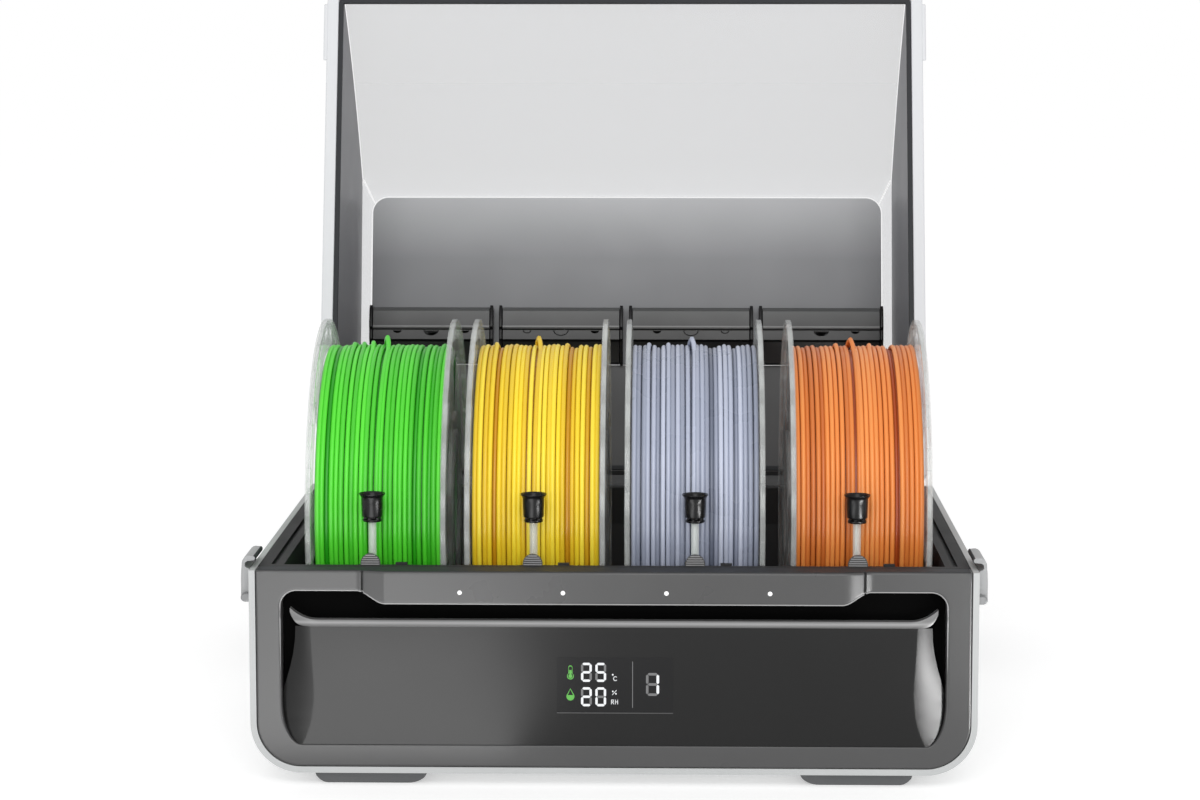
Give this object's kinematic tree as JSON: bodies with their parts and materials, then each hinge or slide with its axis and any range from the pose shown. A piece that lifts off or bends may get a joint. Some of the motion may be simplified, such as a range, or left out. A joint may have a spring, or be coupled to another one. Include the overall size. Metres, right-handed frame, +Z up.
{
  "type": "filament dryer box",
  "caption": "Box that keeps spools of printer filament dry, with a hinged clear lid, desiccant boxes, rollers under each spool and a guided feed inlet for each.",
  "frame": {"origin": "centre of the open box's bounding box, at the table under its feet", "axes": "+X to the right seen from the front, +Y from the front panel towards the hinge, +Z up"},
  "size_m": [0.3808, 0.5059, 0.4035],
  "materials": {
    "shell_grey": "satin",
    "bezel_grey": "satin",
    "panel_black": "gloss",
    "display_black": "gloss",
    "board_green": "satin",
    "lamp_white": "diffusing",
    "feeder_black": "satin",
    "tub_grey": "fine grain",
    "fitting_white": "satin",
    "foot_grey": "matt",
    "clear_tube": "translucent",
    "rubber_black": "matt",
    "steel": "bright",
    "lid_white": "satin",
    "clear_lid": "clear gloss",
    "smoked_panel": "smoked gloss",
    "liner_grey": "satin",
    "desiccant_black": "satin",
    "clear_spool": "clear gloss",
    "filament_green": "wound strands",
    "filament_yellow": "wound strands",
    "filament_silver": "wound strands",
    "filament_orange": "wound strands"
  },
  "bodies": {
    "base": {"outer_shell": "shell_grey", "inner_tub": "tub_grey", "front_bezel": "bezel_grey", "front_panel": "panel_black", "display_window": "display_black", "light_bar": "lamp_white", "control_board": "board_green", "feeder_unit": "feeder_black", "rear_cover": "bezel_grey", "outlet_fitting": "fitting_white", "signal_socket": "feeder_black", "foot_front_left": "foot_grey", "foot_front_right": "foot_grey", "foot_rear_left": "foot_grey", "foot_rear_right": "foot_grey", "left_latch_pin": "steel", "right_latch_pin": "steel", "left_hinge_pin": "steel", "right_hinge_pin": "steel", "inlet_funnel_1": "feeder_black", "inlet_funnel_2": "feeder_black", "inlet_funnel_3": "feeder_black", "inlet_funnel_4": "feeder_black", "guide_tube_1": "clear_tube", "guide_tube_2": "clear_tube", "guide_tube_3": "clear_tube", "guide_tube_4": "clear_tube"},
    "lid": {"lid_frame": "lid_white", "lid_cover": "clear_lid", "lid_panel": "smoked_panel", "lid_rear_liner": "tub_grey", "lid_liner_left": "liner_grey", "lid_liner_right": "liner_grey", "lid_gasket": "rubber_black", "desiccant_box_1": "desiccant_black", "desiccant_box_2": "desiccant_black", "desiccant_box_3": "desiccant_black", "desiccant_box_4": "desiccant_black"},
    "left_latch": {"left_latch": "shell_grey"},
    "right_latch": {"right_latch": "shell_grey"},
    "spool_1": {"spool_1": "clear_spool", "winding_1": "filament_green"},
    "front_roller_1": {"front_roller_1": "rubber_black"},
    "rear_roller_1": {"rear_roller_1": "rubber_black"},
    "release_tab_1": {"release_tab_1": "feeder_black"},
    "spool_2": {"spool_2": "clear_spool", "winding_2": "filament_yellow"},
    "front_roller_2": {"front_roller_2": "rubber_black"},
    "rear_roller_2": {"rear_roller_2": "rubber_black"},
    "release_tab_2": {"release_tab_2": "feeder_black"},
    "spool_3": {"spool_3": "clear_spool", "winding_3": "filament_silver"},
    "front_roller_3": {"front_roller_3": "rubber_black"},
    "rear_roller_3": {"rear_roller_3": "rubber_black"},
    "release_tab_3": {"release_tab_3": "feeder_black"},
    "spool_4": {"spool_4": "clear_spool", "winding_4": "filament_orange"},
    "front_roller_4": {"front_roller_4": "rubber_black"},
    "rear_roller_4": {"rear_roller_4": "rubber_black"},
    "release_tab_4": {"release_tab_4": "feeder_black"}
  },
  "joints": [
    {"name": "lid_hinge", "type": "hinge", "parent": "base", "child": "lid", "pos_m": [0, 0.0508, 0.113], "axis": [1, 0, 0], "range_deg": [0, 106.2]},
    {"name": "left_latch_pivot", "type": "hinge", "parent": "base", "child": "left_latch", "pos_m": [-0.188, -0.2257, 0.0965], "axis": [0, -1, 0], "range_deg": [0, 50]},
    {"name": "right_latch_pivot", "type": "hinge", "parent": "base", "child": "right_latch", "pos_m": [0.188, -0.2257, 0.0965], "axis": [0, 1, 0], "range_deg": [0, 50]},
    {"name": "spool_1_spin", "type": "hinge", "parent": "base", "child": "spool_1", "pos_m": [-0.1233, -0.1217, 0.127], "axis": [1, 0, 0], "continuous": true},
    {"name": "front_roller_1_spin", "type": "hinge", "parent": "base", "child": "front_roller_1", "pos_m": [-0.12495, -0.18905, 0.04079], "axis": [1, 0, 0], "continuous": true},
    {"name": "rear_roller_1_spin", "type": "hinge", "parent": "base", "child": "rear_roller_1", "pos_m": [-0.12495, -0.05435, 0.04079], "axis": [1, 0, 0], "continuous": true},
    {"name": "release_tab_1_pivot", "type": "hinge", "parent": "base", "child": "release_tab_1", "pos_m": [-0.12495, -0.2297, 0.1055], "axis": [-1, 0, 0], "range_deg": [0, 14], "stiffness_Nm_per_rad": 0.05},
    {"name": "spool_2_spin", "type": "hinge", "parent": "base", "child": "spool_2", "pos_m": [-0.0411, -0.1217, 0.127], "axis": [1, 0, 0], "continuous": true},
    {"name": "front_roller_2_spin", "type": "hinge", "parent": "base", "child": "front_roller_2", "pos_m": [-0.04165, -0.18905, 0.04079], "axis": [1, 0, 0], "continuous": true},
    {"name": "rear_roller_2_spin", "type": "hinge", "parent": "base", "child": "rear_roller_2", "pos_m": [-0.04165, -0.05435, 0.04079], "axis": [1, 0, 0], "continuous": true},
    {"name": "release_tab_2_pivot", "type": "hinge", "parent": "base", "child": "release_tab_2", "pos_m": [-0.04165, -0.2297, 0.1055], "axis": [-1, 0, 0], "range_deg": [0, 14], "stiffness_Nm_per_rad": 0.05},
    {"name": "spool_3_spin", "type": "hinge", "parent": "base", "child": "spool_3", "pos_m": [0.0415, -0.1217, 0.127], "axis": [1, 0, 0], "continuous": true},
    {"name": "front_roller_3_spin", "type": "hinge", "parent": "base", "child": "front_roller_3", "pos_m": [0.04165, -0.18905, 0.04079], "axis": [1, 0, 0], "continuous": true},
    {"name": "rear_roller_3_spin", "type": "hinge", "parent": "base", "child": "rear_roller_3", "pos_m": [0.04165, -0.05435, 0.04079], "axis": [1, 0, 0], "continuous": true},
    {"name": "release_tab_3_pivot", "type": "hinge", "parent": "base", "child": "release_tab_3", "pos_m": [0.04165, -0.2297, 0.1055], "axis": [-1, 0, 0], "range_deg": [0, 14], "stiffness_Nm_per_rad": 0.05},
    {"name": "spool_4_spin", "type": "hinge", "parent": "base", "child": "spool_4", "pos_m": [0.1273, -0.1217, 0.127], "axis": [1, 0, 0], "continuous": true},
    {"name": "front_roller_4_spin", "type": "hinge", "parent": "base", "child": "front_roller_4", "pos_m": [0.12495, -0.18905, 0.04079], "axis": [1, 0, 0], "continuous": true},
    {"name": "rear_roller_4_spin", "type": "hinge", "parent": "base", "child": "rear_roller_4", "pos_m": [0.12495, -0.05435, 0.04079], "axis": [1, 0, 0], "continuous": true},
    {"name": "release_tab_4_pivot", "type": "hinge", "parent": "base", "child": "release_tab_4", "pos_m": [0.12495, -0.2297, 0.1055], "axis": [-1, 0, 0], "range_deg": [0, 14], "stiffness_Nm_per_rad": 0.05}
  ],
  "couplings": [
    {"joint": "front_roller_1_spin", "follows": "spool_1_spin", "ratio": -11.111},
    {"joint": "rear_roller_1_spin", "follows": "spool_1_spin", "ratio": -11.111},
    {"joint": "front_roller_2_spin", "follows": "spool_2_spin", "ratio": -11.111},
    {"joint": "rear_roller_2_spin", "follows": "spool_2_spin", "ratio": -11.111},
    {"joint": "front_roller_3_spin", "follows": "spool_3_spin", "ratio": -11.111},
    {"joint": "rear_roller_3_spin", "follows": "spool_3_spin", "ratio": -11.111},
    {"joint": "front_roller_4_spin", "follows": "spool_4_spin", "ratio": -11.111},
    {"joint": "rear_roller_4_spin", "follows": "spool_4_spin", "ratio": -11.111}
  ]
}
